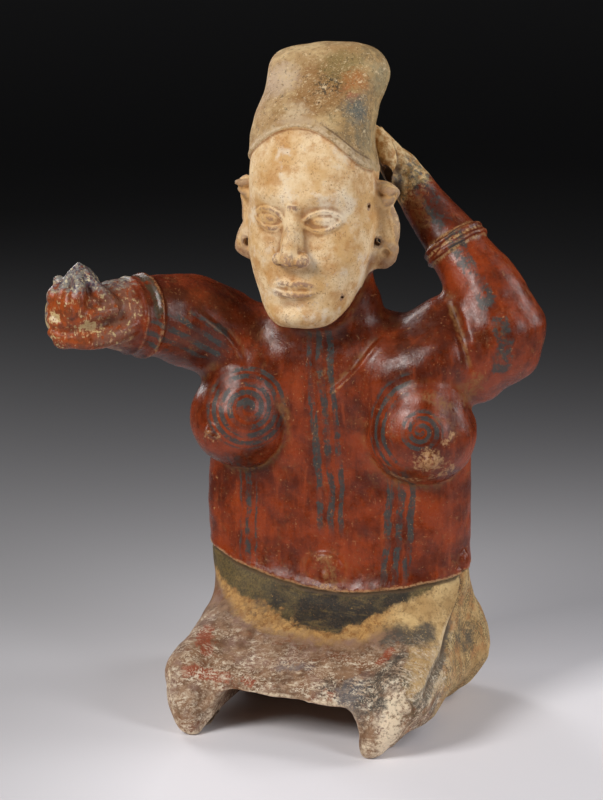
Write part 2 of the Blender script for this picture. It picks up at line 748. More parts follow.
# Stains, crusts and worn paint: each patch is a line of points and how far it reaches from them
PATCHES = {
    "black": (
        ((64, -64, 72), (77, -60, 72), (85, -50, 74), 9),
        ((78, -76, 66), (70, -92, 60), 7),
        ((77, -106, 58), (65, -107, 50), (50, -112, 44), 12),
        ((40, -112, 46), (24, -112, 46), 3),
        ((74, -116, 43), (61, -117, 35), 8),
        ((-53, -60, 84), (-40, -56, 84), 2),
        ((104, -10, 62), (103, 4, 58), 8),
    ),
    "red": (
        ((-79, -75, 66), (-76, -86, 63), (-70, -96, 58), 6),
        ((-79, -114, 47), (-62, -110, 45), (-48, -111, 45), 4.5),
        ((-36, -112, 46), (-28, -113, 44), 3),
        ((66, -72, 67), (62, -84, 61), 3),
        ((107, 14, 84), (110, 18, 60), 5),
        ((30, -113, 42), (36, -114, 41), 3),
    ),
    "crust": (
        ((-72, -64, 224), (-79, -62, 222), (-80, -62, 214), (-73, -66, 214), (-72, -64, 222), 1.5),
        ((88, -63, 213), (97, -57, 206), (86, -62, 205), 6.5),
        ((103, -50, 229), (99, -56, 222), 2),
        ((4, -46, 101), (14, -46, 99), 3),
        ((-8, -46, 106), (-7, -46, 116), 1),
        ((-2, -46, 122), (7, -46, 124), (14, -46, 119), 1),
        ((32, -44, 150), (27, -44, 146), 2.5),
        ((54, -46, 198), (66, -50, 191), (78, -52, 189), (92, -50, 192), (104, -46, 201), 3),
    ),
    "hollow": (((30, 8, 406), (34, 12, 396), 11),),
    "pale": (
        ((84, -116, 46), (82, -122, 28), (80, -122, 8), 7),
        ((-90, -110, 40), (-92, -112, 22), 4),
    ),
    "band": (((97, -36, 50), (97, -50, 44), (97, -62, 36), (97, -74, 28), 5.5),),
    "grey": (
        ((46, -115, 42), (50, -106, 48), 9),
        ((-10, -100, 54), (10, -98, 56), 4),
    ),
    "smear": (
        ((58, 12, 397), (66, 12, 388), (76, 10, 374), 7.5),
        ((88, 2, 362), (102, -10, 342), (118, -16, 321), 6.5),
        ((129, -20, 308), (134, -21, 292), (131, -20, 272), 6),
    ),
    "arm_paint": (((-108, -80, 291), (-93, -66, 290), (-80, -56, 284), 15),),
    "tan": (
        ((92, -62, 212), (94, -60, 206), 6),
        ((84, -56, 258), (104, -46, 246), 5),
        ((116, -28, 262), (106, -24, 250), 7),
        ((5, -46, 122), (12, -46, 100), 5),
        ((56, 12, 384), (62, 6, 372), 6),
    ),
}


def patches(spots, places):
    """How deep each spot is inside the nearest of the patches, in millimetres."""
    inside = np.full(len(spots), OUTSIDE)
    for *line, reach in places:
        inside = np.maximum(inside, reach - beside(spots, line)[0])
    return inside


def left_hand_zone(spots):
    """Where the raised forearm, its hand and its thumb are, and how far along the forearm."""
    x, y, z = spots.T
    fore, share = beside(spots, through(LEFT_FOREARM, 30))
    radius = np.interp(share, (0, 0.35, 0.65, 1), (40, 30, 21, 14))
    thumb = falling(beside(spots, THUMB)[0], 8, 9.5)
    palm = rising(x, 27.5, 29) * rising(y, -8, -5) * rising(z, 382, 388) * falling(z, 440, 446)
    return np.maximum(np.maximum(falling(fore - radius, 3, 7), thumb), palm), share


def relief_zones(spots, normals, edges):
    """How far the surface stands out from its close and from its wider surroundings."""
    half = np.full(len(spots), 0.5)
    return {
        name: ((spots - settle(spots, edges, half, rounds)) * normals).sum(1)
        for name, rounds in (("bulge", 8), ("broad", 70))
    }


def slip_zones(spots):
    """Where the slips and the bands meet."""
    x, y, z = spots.T
    on_fore, fore_share = left_hand_zone(spots)
    across_fore = 0.675 * x + 0.737 * z - 320
    arm_share = beside(spots, through(RIGHT_ARM, 24))[1]
    on_head = rising(z, 296, 300) * falling(np.abs(x - HEAD_X), 70, 74) * (1 - on_fore)
    behind = rising(y, -6, 12)
    over_waist = z - waist_line(spots)
    seam, seam_share = side_of(spots[:, 1:], through(HIP_FOLD, 24))
    on_side = (x > 80) & (z < 116)
    past_seam = np.where(on_side, np.minimum(seam - 7, y + 66), OUTSIDE)
    wristband = np.abs((spots - (82, 22, 353)) @ WRISTBAND_WAY)
    armband = np.abs((spots - (-134.5, -68, 301.8)) @ ARMBAND_WAY)
    return {
        "waist": over_waist,
        "head": (z - jaw_line(spots)) * 0.72 * on_head - 6 * (1 - on_head),
        "rim": z - rim_line(spots),
        "hand": ((fore_share - HAND_SHARE) * 190 - 0.25 * across_fore) * on_fore - 20 * (1 - on_fore),
        "fist": np.where(x < -118, (arm_share - FIST_SHARE) * 150, -20),
        "dark": z - np.interp(x, *DARK_EDGE) - 40 * behind,
        "gold": np.maximum(z - np.interp(x, *GOLD_EDGE) - 60 * behind, past_seam),
        "lap": falling(over_waist, -46, -28) * falling(y, -60, -36),
        "feet": falling(z, 16, 50) * falling(y, -104, -86),
        "behind": behind,
        "seam": np.where(on_side, 1.4 + 5.5 * seam_share**2 - np.abs(seam), OUTSIDE),
        "hip": np.where(on_side, seam, OUTSIDE) - 14 * behind,
        "shade": rising(z, 236, 286) * falling(x, 92, 108) * falling(z, 316, 332),
        "groove": np.where(on_fore > 0.5, 7 - wristband, OUTSIDE),
        "sleeve": 2.8 - armband - 30 * falling(z, 296, 306),
    }


def zones(mesh):
    """Where each slip, stain and patch lies, by name: millimetres inside its edge, or a share."""
    spots, normals = spots_of(mesh), normals_of(mesh)
    found = relief_zones(spots, normals, edges_of(mesh))
    found.update(slip_zones(spots))
    found.update({name: patches(spots, places) for name, places in PATCHES.items()})
    found["hollow"] = np.minimum(found["hollow"], beside(spots, THUMB)[0] - 6.4)
    found["under"] = rising(-normals[:, 2], 0.75, 0.95) * (spots[:, 2] < 42)
    return found


def store_zones(mesh):
    for name, values in zones(mesh).items():
        layer = mesh.attributes.new(name, "FLOAT", "POINT")
        layer.data.foreach_set("value", values.astype(np.float32))


class Paint:
    """Node helpers for one material, with places in millimetres on Object coordinates."""

    def __init__(self, name):
        self.material = bpy.data.materials.new(name)
        self.material.use_nodes = True
        tree = self.material.node_tree
        self.nodes, self.links = tree.nodes, tree.links
        self.nodes.clear()
        self.made = {}
        place = self.nodes.new("ShaderNodeTexCoord")
        self.spot = self.vector("SCALE", place.outputs["Object"], scale=1 / MM)
        self.x, self.y, self.z = self.split(self.spot)

    def feed(self, socket, value):
        """Links or sets a socket. A colour of three numbers is one as a screen shows it."""
        if isinstance(value, bpy.types.NodeSocket):
            self.links.new(value, socket)
        elif socket.type == "RGBA" and len(value) == 3:
            socket.default_value = (*tone(*value), 1)
        else:
            socket.default_value = value

    def split(self, vector):
        node = self.nodes.new("ShaderNodeSeparateXYZ")
        self.links.new(vector, node.inputs[0])
        return node.outputs

    def math(self, operation, one, two=0.5):
        node = self.nodes.new("ShaderNodeMath")
        node.operation = operation
        self.feed(node.inputs[0], one)
        self.feed(node.inputs[1], two)
        return node.outputs[0]

    def vector(self, operation, one, two=None, scale=None):
        node = self.nodes.new("ShaderNodeVectorMath")
        node.operation = operation
        self.feed(node.inputs[0], one)
        if two is not None:
            self.feed(node.inputs[1], two)
        if scale is not None:
            self.feed(node.inputs["Scale"], scale)
        return node.outputs["Value"] if operation in ("DOT_PRODUCT", "LENGTH") else node.outputs["Vector"]

    def add(self, one, two):
        return self.math("ADD", one, two)

    def minus(self, one, two):
        return self.math("SUBTRACT", one, two)

    def times(self, one, *more):
        for other in more:
            one = self.math("MULTIPLY", one, other)
        return one

    def most(self, one, *more):
        for other in more:
            one = self.math("MAXIMUM", one, other)
        return one

    def less(self, one):
        return self.minus(1, one)

    def step(self, value, low, high):
        """0 up to low, 1 from high on, and smooth between them; falling where low is the greater."""
        node = self.nodes.new("ShaderNodeMapRange")
        node.interpolation_type = "SMOOTHSTEP"
        node.clamp = False
        self.feed(node.inputs["Value"], value)
        ends = (low, high, 0, 1) if low <= high else (high, low, 1, 0)
        for name, end in zip(("From Min", "From Max", "To Min", "To Max"), ends):
            node.inputs[name].default_value = end
        return node.outputs["Result"]

    def noise(self, size, shift=0, stretch=(1, 1, 1), detail=5, rough=0.65):
        """Noise with features of about size millimetres, from 0 to 1. Equal calls share their nodes."""
        key = (size, shift, stretch, detail, rough)
        if key not in self.made:
            place = self.vector("MULTIPLY", self.spot, stretch)
            place = self.vector("ADD", place, (shift * 61.0, shift * 37.0, shift * -53.0))
            node = self.nodes.new("ShaderNodeTexNoise")
            self.links.new(place, node.inputs["Vector"])
            node.inputs["Scale"].default_value = 1 / size
            node.inputs["Detail"].default_value = detail
            node.inputs["Roughness"].default_value = rough
            self.made[key] = node.outputs["Fac"]
        return self.made[key]

    def zone(self, name):
        if name not in self.made:
            node = self.nodes.new("ShaderNodeAttribute")
            node.attribute_name = name
            self.made[name] = node.outputs["Fac"]
        return self.made[name]

    def blot(self, size, low, high, shift=0):
        """Blots of noise: none where it is below low, full where it is above high."""
        return self.step(self.noise(size, shift), low, high)

    def proud(self, low, high):
        """Where the surface stands out, or lies deep if high is the lower, in millimetres."""
        return self.step(self.zone("bulge"), low, high)

    def away(self, at):
        return self.vector("LENGTH", self.vector("SUBTRACT", self.spot, at))

    def waves(self, value, period):
        return self.math("COSINE", self.times(value, 2 * math.pi / period))

    def sway(self, size, reach, shift=0):
        """Noise about zero, to lead a line or an edge astray by up to half the reach."""
        return self.times(self.minus(self.noise(size, shift), 0.5), reach)

    def ragged(self, value, reach, size, shift=0):
        """A place or a distance moved on by noise, to break up an edge drawn from it."""
        return self.add(value, self.times(self.noise(size, shift), reach))

    def within(self, name, size, wander, soft=0.8, shift=0):
        """Inside a zone, whose edge wanders with noise."""
        shaken = self.sway(size, wander * 2, shift)
        return self.step(self.add(self.zone(name), shaken), -soft, soft)

    def mix(self, share, one, two, kind="RGBA"):
        node = self.nodes.new("ShaderNodeMix")
        node.data_type = kind
        factor, one_in, two_in = (s for s in node.inputs if s.enabled)
        self.feed(factor, share)
        self.feed(one_in, one)
        self.feed(two_in, two)
        return next(s for s in node.outputs if s.enabled)

    def blend(self, share, one, two):
        return self.mix(share, one, two, "FLOAT")

    def between(self, value, low, high, soft):
        """1 from low to high and 0 outside, with soft ends."""
        over = self.step(value, low - soft, low + soft)
        return self.times(over, self.step(value, high + soft, high - soft))

    def finish(self, colour, rough):
        """Ends the material in one shader, and gives the shader back."""
        shader = self.nodes.new("ShaderNodeBsdfPrincipled")
        self.feed(shader.inputs["Base Color"], colour)
        self.feed(shader.inputs["Roughness"], rough)
        out = self.nodes.new("ShaderNodeOutputMaterial")
        self.links.new(shader.outputs["BSDF"], out.inputs["Surface"])
        return shader


class Coat:
    """A ground colour with paints laid over it, one after another."""

    def __init__(self, paint, ground):
        self.paint = paint
        self.colour = ground

    def lay(self, share, over, amount=1.0):
        """Lays a paint over the colour where share says, at most by amount."""
        share = self.paint.times(share, amount) if amount < 1 else share
        self.colour = self.paint.mix(share, self.colour, over)


# Sizes of the blots of noise that the slips are made of
DUST = 1.5
GRAIN = 2.4
FLAKE = 5
PATCH = 13
CLOUD = 24
SWELL = 38
# How the places of a noise are squeezed, to make it run in upright strokes
UPRIGHT = (1, 1, 0.2)


def tone(red, green, blue):
    """A colour as a screen shows it, from 0 to 255, as the light that a shader mixes."""
    return tuple((((c / 255) + 0.055) / 1.055) ** 2.4 for c in (red, green, blue))


def markings(p):
    """Grey-blue paint on the red: bundles of upright lines, spirals on the breasts, strokes on the arm."""
    sway = p.sway(SWELL, 12, 1)
    grit = p.sway(FLAKE, 3.4)
    in_front = p.step(p.y, -8, -18)
    x = p.add(p.x, p.add(sway, grit))
    lines = 0.0
    kept = p.step(p.noise(6, 3, UPRIGHT), 0.36, 0.46)
    # Each bundle: its middle, its lean, half its width, and its lower and upper end
    bundles = ((3, -0.07, 14, 144, 300), (-60, 0, 7.5, 112, 198), (62, 0.04, 13, 110, 198))
    for middle, lean, half, low, high in bundles:
        across = p.minus(p.minus(x, p.times(p.minus(p.z, 220), lean)), middle)
        inside = p.step(p.math("ABSOLUTE", across), half + 0.7, half - 0.7)
        ripple = p.waves(across, 8.4)
        bundle = p.times(p.step(ripple, -0.5, 0.0), inside, p.between(p.z, low, high, 9), in_front, kept)
        lines = p.most(bundle, lines)
    for side, middle, reach in ((-1, (-52.5, -56, 236), 31), (1, (84, -62, 231), 16)):
        out = p.vector("SUBTRACT", p.spot, middle)
        right, _, up = p.split(out)
        far = p.add(p.vector("LENGTH", out), p.times(grit, 0.5))
        far = p.add(far, p.times(sway, 0.3))
        turn = p.add(p.times(far, 2 * math.pi / 5.5), p.times(p.math("ARCTAN2", up, right), side))
        ring = p.step(p.math("COSINE", turn), -0.6, -0.1)
        inside = p.step(far, reach + 1.5, reach - 1.5)
        lines = p.most(lines, p.times(ring, inside, in_front))
    far = p.add(p.away((84, -60, 230)), grit)
    arcs = p.step(p.waves(far, 7.5), -0.1, 0.35)
    arcs = p.times(arcs, p.between(far, 24, 45, 1.5), p.step(p.x, 78, 64), p.step(p.y, -28, -36))
    slant = p.add(p.times(p.z, 0.77), p.times(p.add(p.x, sway), 0.64))
    strokes = p.step(p.waves(p.add(slant, grit), 8.5), -0.2, 0.4)
    strokes = p.times(strokes, p.within("arm_paint", 9, 9, 2))
    smears = p.times(p.within("smear", FLAKE, 6, 1.2, 1), p.blot(FLAKE, 0.36, 0.5, 2))
    flaked = p.most(p.step(p.noise(PATCH, 2), 0.42, 0.5), 0.3)
    return p.times(p.most(lines, arcs, strokes, smears), flaked, p.blot(GRAIN, 0.32, 0.44, 1))


def red_slip(p):
    """Deep red slip, burnished in short strokes, stained tan in creases, worn pale on edges."""
    brushed = p.noise(7, 1, UPRIGHT)
    coat = Coat(p, p.mix(p.blot(SWELL, 0.38, 0.62), (88, 31, 11), (141, 56, 22)))
    coat.lay(p.step(brushed, 0.5, 0.72), (164, 72, 33), 0.55)
    coat.lay(p.step(brushed, 0.46, 0.3), (66, 22, 7), 0.42)
    clouds = p.times(p.blot(PATCH, 0.5, 0.66, 1), p.blot(GRAIN, 0.34, 0.6, 3))
    coat.lay(clouds, (84, 38, 20), 0.42)
    coat.lay(p.times(p.zone("shade"), p.blot(CLOUD, 0.28, 0.56, 2)), (62, 23, 10), 0.6)
    painted = markings(p)
    coat.lay(painted, p.mix(p.noise(FLAKE, 1), (22, 28, 32), (76, 82, 78)), 0.88)
    crease = p.times(p.step(p.zone("broad"), -0.12, -1.2), p.blot(FLAKE, 0.36, 0.6))
    cloudy = p.times(p.blot(CLOUD, 0.52, 0.7, 1), p.blot(GRAIN, 0.4, 0.62), p.blot(FLAKE, 0.38, 0.6, 2))
    tan_patch = p.times(p.within("tan", FLAKE, 9, 2.5), p.blot(GRAIN, 0.38, 0.56, 2))
    stain = p.most(crease, p.times(cloudy, 0.85), tan_patch)
    coat.lay(stain, p.mix(p.noise(FLAKE, 2), (168, 118, 66), (106, 70, 38)), 0.66)
    worn = p.times(p.proud(0.24, 0.55), p.blot(GRAIN, 0.4, 0.56, 1))
    coat.lay(worn, (190, 140, 94), 0.6)
    chips = p.times(p.blot(FLAKE, 0.65, 0.69, 1), p.blot(SWELL, 0.44, 0.6, 2), p.blot(DUST, 0.36, 0.46))
    coat.lay(chips, (192, 140, 92), 0.75)
    edge = p.add(p.zone("waist"), p.sway(PATCH, 7, 1))
    lip = p.times(p.between(edge, -1.2, 1.6, 0.8), p.blot(GRAIN, 0.36, 0.5, 2))
    crust = p.within("crust", FLAKE, 11, 1.2)
    crust = p.times(crust, p.blot(GRAIN, 0.4, 0.52, 1), p.blot(DUST, 0.36, 0.5, 1))
    coat.lay(p.most(lip, crust), p.mix(p.noise(GRAIN), (214, 172, 124), (150, 100, 62)), 0.75)
    groove = p.times(p.within("groove", FLAKE, 5, 2), p.proud(0.02, -0.26), p.blot(GRAIN, 0.38, 0.56))
    coat.lay(groove, p.mix(p.noise(FLAKE), (214, 176, 126), (150, 106, 64)), 0.8)
    sleeve = p.times(p.within("sleeve", FLAKE, 3, 0.8), p.blot(FLAKE, 0.36, 0.5, 1))
    coat.lay(sleeve, p.mix(p.noise(GRAIN), (36, 33, 26), (84, 74, 54)), 0.85)
    specks = p.times(p.blot(DUST, 0.62, 0.68), p.blot(PATCH, 0.42, 0.56))
    coat.lay(specks, (190, 140, 96), 0.65)
    flakes = p.times(p.blot(GRAIN, 0.66, 0.7, 3), p.blot(CLOUD, 0.46, 0.56, 3), p.blot(DUST, 0.38, 0.48, 2))
    coat.lay(flakes, (204, 160, 112), 0.75)
    right_nipple = p.step(p.away((-76.5, -64, 219)), 3.4, 2)
    coat.lay(right_nipple, (44, 30, 20), 0.85)
    motes = p.times(p.blot(DUST, 0.62, 0.68, 1), p.blot(PATCH, 0.4, 0.56, 1))
    coat.lay(motes, (34, 16, 10), 0.7)
    scratch = 0.0
    for shift, stretch in ((1, (0.3, 0.3, 1.7)), (2, (1.7, 0.4, 0.3))):
        drawn = p.noise(2.6, shift, stretch, detail=3)
        scratch = p.most(p.times(p.step(drawn, 0.655, 0.715), p.blot(CLOUD, 0.46, 0.58, shift)), scratch)
    coat.lay(scratch, (196, 136, 90), 0.42)
    dull = p.most(stain, crust, p.times(painted, 0.5))
    rough = p.blend(dull, p.blend(p.blot(FLAKE, 0.3, 0.7, 1), 0.22, 0.42), 0.55)
    return coat.colour, rough


def pale_face(p):
    """The cream slip of the face, stained ochre in hollows and rubbed mauve on its edges."""
    coat = Coat(p, p.mix(p.blot(CLOUD, 0.36, 0.64), (238, 210, 168), (214, 170, 112)))
    coat.lay(p.blot(PATCH, 0.46, 0.64), (194, 136, 72), 0.62)
    coat.lay(p.blot(CLOUD, 0.52, 0.64, 2), (240, 224, 200), 0.65)
    fine = p.times(p.blot(DUST, 0.5, 0.64, 2), p.blot(PATCH, 0.42, 0.6, 2))
    coat.lay(fine, (170, 118, 68), 0.6)
    hollow = p.most(p.proud(-0.04, -0.34), p.step(p.zone("broad"), -0.12, -1.3))
    coat.lay(p.times(hollow, p.blend(p.noise(FLAKE, 1), 0.6, 1.0)), (142, 88, 42), 0.88)
    rub = p.times(p.proud(0.1, 0.34), p.blot(GRAIN, 0.38, 0.54, 1), p.blot(PATCH, 0.36, 0.5))
    coat.lay(rub, (142, 108, 92), 0.78)
    coat.lay(p.blot(DUST, 0.62, 0.67), (104, 70, 42), 0.7)
    chipped = p.times(p.blot(FLAKE, 0.62, 0.67, 3), p.blot(DUST, 0.36, 0.46, 1))
    coat.lay(chipped, p.mix(p.noise(GRAIN), (184, 134, 84), (236, 224, 206)), 0.6)
    ears = p.step(p.math("ABSOLUTE", p.minus(p.x, HEAD_X)), 44, 50)
    ears = p.times(ears, p.between(p.z, 338, 408, 4), p.step(p.y, -44, -36))
    lobes = p.times(ears, p.step(p.ragged(p.z, 30, FLAKE, 1), 373, 360))
    coat.lay(ears, (210, 168, 108), 0.35)
    coat.lay(lobes, p.mix(p.blot(FLAKE, 0.42, 0.58), (176, 138, 104), (122, 66, 44)), 0.7)
    worn = p.times(ears, p.proud(0.08, 0.34), p.blot(GRAIN, 0.36, 0.52, 2))
    coat.lay(worn, p.mix(p.noise(FLAKE), (122, 86, 76), (222, 190, 150)), 0.8)
    return coat.colour


# Each stain of the cap: its middle, how far it reaches, how strong it is, and its colour
CAP_STAINS = (
    ((-2, -34, 472), 24, 0.8, (142, 98, 50)),
    ((8, -24, 488), 16, 0.7, (134, 116, 70)),
    ((36, -10, 476), 12, 0.6, (150, 138, 104)),
    ((21, -26, 478), 9, 0.75, (172, 104, 48)),
    ((27, -40, 459), 11, 0.8, (80, 90, 90)),
    ((10, -44, 452), 7, 0.7, (96, 76, 40)),
    ((19, -32, 466), 4, 0.75, (190, 106, 66)),
    ((27, -36, 438), 12, 0.6, (112, 110, 92)),
    ((-36, -28, 474), 15, 0.6, (204, 180, 158)),
    ((-16, -51, 455), 9, 0.6, (222, 200, 166)),
    ((-44, 6, 452), 20, 0.5, (112, 100, 84)),
    ((20, 40, 450), 24, 0.55, (88, 78, 62)),
)


def cap_cover(p):
    """The cap's buff slip, gone grey, olive and rust in places, with black specks."""
    coat = Coat(p, p.mix(p.blot(CLOUD, 0.36, 0.62, 1), (210, 180, 132), (166, 128, 82)))
    coat.lay(p.blot(PATCH, 0.48, 0.64), (142, 106, 58), 0.6)
    shaded = p.step(p.ragged(p.x, 30, PATCH, 1), 22, 36)
    coat.lay(shaded, p.mix(p.blot(FLAKE, 0.36, 0.6), (108, 96, 68), (176, 144, 94)), 0.55)
    for at, reach, amount, stain in CAP_STAINS:
        patch = p.step(p.ragged(p.away(at), 26, FLAKE, 1), reach + 18, reach + 6)
        coat.lay(p.times(patch, p.blot(GRAIN, 0.28, 0.5, 2)), stain, amount)
    sooty = p.times(p.step(p.away((3, -34, 473)), 15, 5), p.blot(GRAIN, 0.48, 0.56, 1))
    coat.lay(sooty, (40, 36, 28), 0.85)
    coat.lay(p.blot(GRAIN, 0.57, 0.66), (76, 60, 40), 0.65)
    coat.lay(p.blot(DUST, 0.55, 0.64, 1), (222, 196, 152), 0.5)
    flecks = p.times(p.blot(FLAKE, 0.6, 0.66, 3), p.blot(DUST, 0.34, 0.46, 2))
    coat.lay(flecks, (224, 200, 160), 0.7)
    rim = p.times(p.between(p.zone("rim"), 0, 7, 2), p.blot(FLAKE, 0.38, 0.58, 1))
    coat.lay(rim, (198, 172, 142), 0.6)
    crust = p.times(p.proud(0.1, 0.36), p.blot(GRAIN, 0.4, 0.56, 1))
    coat.lay(crust, (220, 196, 160), 0.6)
    coat.lay(p.proud(-0.06, -0.36), (104, 76, 48), 0.75)
    return coat.colour


def skirt_cover(p):
    """The unburnished skirt: ochre, a black band under the waist, and a brown lap crusted white."""
    ochre = Coat(p, p.mix(p.blot(CLOUD, 0.36, 0.62), (212, 180, 126), (180, 144, 92)))
    ochre.lay(p.blot(FLAKE, 0.48, 0.66), (140, 106, 60), 0.55)
    brown = Coat(p, p.mix(p.blot(PATCH, 0.4, 0.62), (142, 108, 80), (104, 72, 48)))
    brown.lay(p.blot(CLOUD, 0.5, 0.62, 1), (138, 106, 94), 0.6)
    brown.lay(p.times(p.blot(PATCH, 0.52, 0.62, 2), p.blot(GRAIN, 0.36, 0.5)), (116, 64, 32), 0.7)
    gold = p.within("gold", PATCH, 8, 3.5)
    coat = Coat(p, p.mix(p.most(gold, p.zone("behind")), brown.colour, ochre.colour))
    rich = p.mix(p.blot(FLAKE, 0.36, 0.62, 1), (190, 142, 78), (140, 96, 46))
    band = p.times(gold, p.step(p.x, 70, 46), p.less(p.zone("behind")))
    coat.lay(band, rich, 0.8)
    coat.lay(p.times(band, p.blot(FLAKE, 0.52, 0.6), p.blot(DUST, 0.4, 0.54)), (132, 80, 34), 0.7)
    drawn = p.noise(FLAKE, 1, (0.25, 1, 1))
    ends = p.step(p.math("ABSOLUTE", p.minus(p.x, 20)), 30, 84)
    greener = p.step(p.add(p.noise(CLOUD, 1), p.times(ends, 0.25)), 0.42, 0.72)
    olive = Coat(p, p.mix(greener, (30, 27, 22), (102, 86, 50)))
    olive.lay(p.step(drawn, 0.52, 0.68), (132, 108, 60), 0.5)
    olive.lay(p.blot(DUST, 0.46, 0.6), (24, 24, 24), 0.5)
    fading = p.times(p.within("dark", PATCH, 9, 5, 2), p.blot(DUST, 0.42, 0.54, 2))
    coat.lay(fading, (52, 46, 34), 0.8)
    dark = p.times(p.within("dark", PATCH, 9, 1.6, 2), p.blot(GRAIN, 0.26, 0.4, 1))
    coat.lay(dark, olive.colour, 0.95)
    side = p.within("hip", FLAKE, 6, 2)
    coat.lay(p.times(side, p.blot(PATCH, 0.46, 0.62, 1)), (172, 110, 58), 0.6)
    hip = p.times(side, p.blot(PATCH, 0.36, 0.54, 2), p.blot(DUST, 0.42, 0.58))
    coat.lay(hip, p.mix(p.noise(FLAKE), (58, 56, 42), (122, 100, 60)), 0.85)
    soot = p.mix(p.noise(FLAKE), (26, 29, 38), (92, 88, 76))
    coat.lay(p.times(p.within("black", PATCH, 18, 7), p.blot(DUST, 0.26, 0.48)), soot, 0.92)
    band_of_blue = p.times(p.within("band", FLAKE, 6, 1.5, 1), p.blot(GRAIN, 0.32, 0.46, 1))
    coat.lay(band_of_blue, p.mix(p.noise(FLAKE), (54, 60, 70), (120, 118, 110)), 0.85)
    coat.lay(p.within("grey", FLAKE, 12, 3), (104, 98, 100), 0.6)
    red = p.mix(p.noise(FLAKE), (122, 44, 20), (164, 78, 42))
    coat.lay(p.times(p.within("red", FLAKE, 7, 1.2, 1), p.blot(DUST, 0.3, 0.44, 2)), red, 0.85)
    coat.lay(p.within("seam", FLAKE, 3, 1), p.mix(p.noise(FLAKE, 1), (54, 56, 60), (128, 118, 100)), 0.85)
    grime = p.times(p.blot(DUST, 0.5, 0.64, 1), p.blot(PATCH, 0.4, 0.6))
    coat.lay(grime, (92, 66, 44), 0.5)
    caked = p.step(p.noise(PATCH, 2, (0.6, 1, 1)), 0.37, 0.55)
    streaks = p.most(p.step(p.noise(GRAIN, 3, (0.5, 1, 1)), 0.49, 0.6), p.step(p.noise(DUST, 3), 0.51, 0.6))
    caked = p.times(caked, streaks, p.most(p.zone("lap"), p.zone("feet")))
    coat.lay(caked, p.mix(p.blot(FLAKE, 0.36, 0.6, 1), (230, 216, 192), (180, 154, 128)), 0.85)
    drag = p.step(p.noise(2.2, 4, (0.3, 1, 1), detail=3), 0.57, 0.66)
    drag = p.times(drag, p.zone("lap"), p.blot(CLOUD, 0.36, 0.52))
    coat.lay(drag, p.mix(p.blot(FLAKE, 0.4, 0.56), (224, 204, 174), (96, 60, 36)), 0.6)
    rubbed = p.times(p.step(p.zone("feet"), 0.3, 0.9), p.blot(PATCH, 0.46, 0.6, 1), p.blot(GRAIN, 0.36, 0.56))
    coat.lay(rubbed, (232, 212, 184), 0.75)
    pale = p.times(p.within("pale", FLAKE, 12, 3, 1), p.blot(GRAIN, 0.34, 0.52, 2))
    coat.lay(pale, (236, 216, 186), 0.85)
    edge = p.times(p.proud(0.1, 0.36), p.blot(GRAIN, 0.38, 0.54, 2), p.step(p.z, 86, 70))
    coat.lay(edge, (228, 208, 178), 0.75)
    coat.lay(p.proud(-0.05, -0.35), (84, 62, 40), 0.7)
    coat.lay(p.zone("under"), p.mix(p.noise(PATCH), (140, 106, 78), (104, 76, 56)))
    return coat.colour


def hand_wash(p):
    """The left hand: cream and ochre, with grey-blue and olive smears towards the wrist."""
    coat = Coat(p, p.mix(p.blot(FLAKE, 0.38, 0.6), (240, 208, 156), (184, 132, 72)))
    grey = p.times(p.step(p.ragged(p.zone("hand"), 30, PATCH, 1), 46, 30), p.blot(FLAKE, 0.38, 0.56, 2))
    coat.lay(grey, p.mix(p.blot(FLAKE, 0.42, 0.6, 1), (70, 78, 84), (148, 126, 78)), 0.85)
    coat.lay(p.times(p.blot(GRAIN, 0.5, 0.62), p.blot(DUST, 0.4, 0.54)), (216, 184, 132), 0.7)
    coat.lay(p.proud(-0.04, -0.36), (92, 60, 30), 0.75)
    coat.lay(p.step(p.zone("hollow"), -2, 2), (48, 28, 14), 0.85)
    return coat.colour


# Where the right hand has lost its slip, and how far around
LOST_SLIP = (
    ((-146, -110, 299), 3),
    ((-152, -116, 303), 5),
    ((-142, -104, 308), 2),
    ((-175, -123, 309), 4),
    ((-183, -117, 302), 4),
    ((-187, -114, 315), 4),
)


def fist_wash(p, slip):
    """The right hand: red worn to orange, grey-blue on the knuckles, cream where the slip is lost."""
    coat = Coat(p, slip)
    coat.lay(p.blot(PATCH, 0.28, 0.5), p.mix(p.blot(FLAKE, 0.4, 0.6), (168, 78, 34), (128, 66, 38)), 0.9)
    wrist = p.times(p.step(p.ragged(p.x, 22, PATCH, 2), -140, -130), p.blot(FLAKE, 0.34, 0.5, 1))
    coat.lay(wrist, (126, 88, 72), 0.7)
    lines = p.times(p.step(p.noise(2.2, 3, (1, 1, 0.3), detail=3), 0.58, 0.66), p.blot(PATCH, 0.36, 0.5))
    coat.lay(lines, p.mix(p.noise(FLAKE), (232, 196, 150), (176, 116, 74)), 0.75)
    top = p.step(p.ragged(p.z, 26, FLAKE, 1), 337, 345)
    outer = p.step(p.ragged(p.x, -18, FLAKE, 2), -190, -195)
    blue = p.mix(p.blot(FLAKE, 0.42, 0.56), (46, 56, 76), (134, 134, 130))
    coat.lay(p.times(p.most(top, outer), p.blot(GRAIN, 0.3, 0.46)), blue, 0.9)
    flecks = p.times(p.most(top, outer), p.blot(GRAIN, 0.54, 0.6, 1), p.blot(DUST, 0.38, 0.5, 2))
    coat.lay(flecks, (222, 206, 168), 0.8)
    lost = p.blot(FLAKE, 0.58, 0.63, 1)
    for at, reach in LOST_SLIP:
        lost = p.most(lost, p.step(p.ragged(p.away(at), 24, FLAKE), reach + 12.6, reach + 11.2))
    lost = p.times(lost, p.blot(DUST, 0.34, 0.46), p.less(p.times(top, 0.7)))
    coat.lay(lost, p.mix(p.noise(GRAIN), (226, 204, 152), (176, 146, 98)), 0.9)
    coat.lay(p.proud(-0.08, -0.5), (92, 40, 20), 0.65)
    return coat.colour


